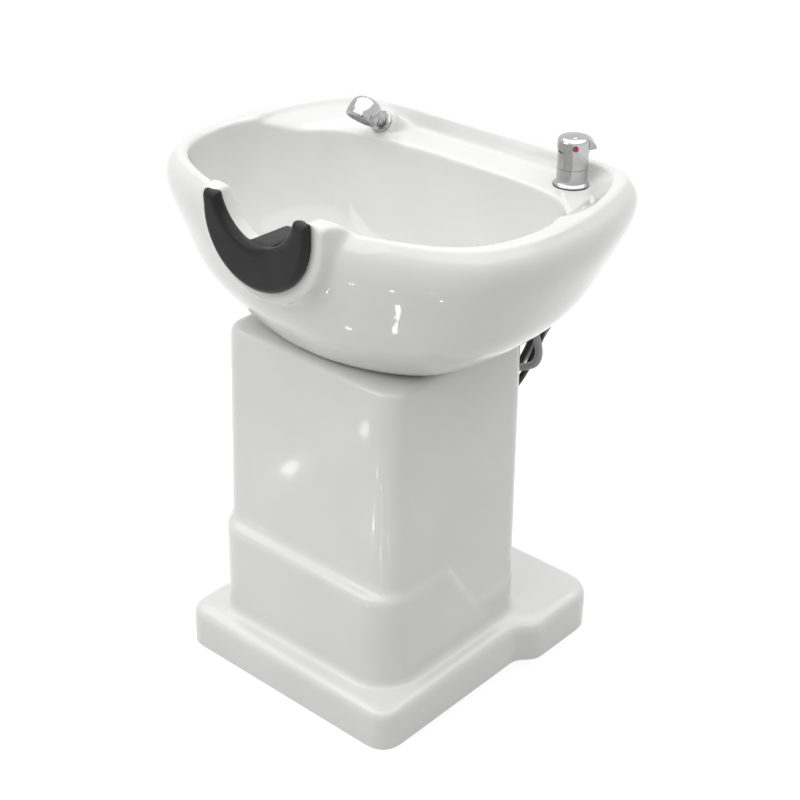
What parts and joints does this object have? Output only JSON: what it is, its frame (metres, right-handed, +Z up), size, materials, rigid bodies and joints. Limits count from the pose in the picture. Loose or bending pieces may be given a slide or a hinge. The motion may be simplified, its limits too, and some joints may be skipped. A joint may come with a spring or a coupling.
{
  "type": "salon backwash basin on pedestal",
  "caption": "White backwash basin on a moulded floor pedestal, with a single lever mixer, a pull-out hand shower and a rubber neck rest.",
  "frame": {"origin": "on the floor under the pedestal column's axis, centre of the four floor anchor holes", "axes": "+Z up; -Y the way the neck rest faces; +X to the mixer's side"},
  "size_m": [0.6922, 0.5503, 0.8755],
  "materials": {
    "ceramic": "white glazed ceramic",
    "casing": "gloss white moulding",
    "rubber_black": "soft satin black",
    "plastic_grey": "matt grey",
    "plastic_white": "matt white",
    "mark_red": "gloss red",
    "mark_blue": "gloss blue",
    "steel": "zinc plated",
    "steel_painted": "dark grey powder coat",
    "chrome": "polished chrome",
    "brass": "raw brass",
    "hose_black": "black braid over rubber",
    "hose_grey": "smooth silver grey"
  },
  "bodies": {
    "basin_stand": {"access_panel": "casing", "bowl": "ceramic", "bowl_studs": "steel", "cartridge_nut": "brass", "cold_hose_nut": "chrome", "cold_inlet_coupling": "brass", "cold_supply_hose": "hose_black", "coupling_locknuts": "brass", "foot_plate_left": "steel_painted", "foot_plate_right": "steel_painted", "frame_post_front_left": "steel_painted", "frame_post_front_right": "steel_painted", "frame_post_rear_left": "steel_painted", "frame_post_rear_right": "steel_painted", "frame_top_plate": "steel_painted", "guide_bush": "plastic_grey", "guide_nut": "brass", "hose_guide": "chrome", "hot_hose_nut": "chrome", "hot_inlet_coupling": "brass", "hot_supply_hose": "hose_black", "inlet_bracket": "steel_painted", "mixer_body": "chrome", "mixer_cartridge": "plastic_grey", "mixer_flange": "chrome", "mixer_gasket": "rubber_black", "mixer_shank": "brass", "neck_rest": "rubber_black", "panel_screws": "steel", "pedestal_casing": "casing", "seat_gasket": "rubber_black", "shank_nut": "brass", "shank_washer": "steel", "shower_hose": "hose_grey", "stud_nuts": "steel", "stud_washers": "steel", "tail_coupling": "plastic_white", "tail_pipe": "plastic_white", "trap_body": "plastic_white", "trap_cup": "plastic_white", "trap_inlet_nut": "plastic_white", "trap_outlet_nut": "plastic_white", "waste_flange": "chrome", "waste_gasket": "rubber_black", "waste_locknut": "plastic_white", "waste_pipe": "plastic_white"},
    "strainer": {"hair_strainer": "chrome"},
    "mixer_spindle": {"cartridge_rotor": "brass"},
    "lever": {"mixer_lever": "chrome", "lever_stem": "brass", "hot_mark": "mark_red", "cold_mark": "mark_blue"},
    "hose_end": {"shower_hose_end": "chrome", "shower_cone_nut": "chrome"},
    "shower": {"hand_shower": "chrome", "spray_face": "plastic_grey"}
  },
  "joints": [
    {"name": "strainer_lift", "type": "slide", "parent": "basin_stand", "child": "strainer", "axis": [0, 0, 1], "range_m": [0, 0.06]},
    {"name": "lever_turn", "type": "hinge", "parent": "basin_stand", "child": "mixer_spindle", "pos_m": [0.194, 0.2, 0.8525], "axis": [0, 0, 1], "range_deg": [-45, 45]},
    {"name": "lever_lift", "type": "hinge", "parent": "mixer_spindle", "child": "lever", "pos_m": [0.1836, 0.19063, 0.8525], "axis": [0.6691, -0.7431, 0], "range_deg": [0, 20]},
    {"name": "shower_pull", "type": "slide", "parent": "basin_stand", "child": "hose_end", "axis": [0, -0.788, 0.6157], "range_m": [0, 0.04]},
    {"name": "shower_swivel", "type": "hinge", "parent": "hose_end", "child": "shower", "pos_m": [-0.162, 0.178, 0.816], "axis": [0, -0.788, 0.6157], "range_deg": [-90, 90]}
  ]
}
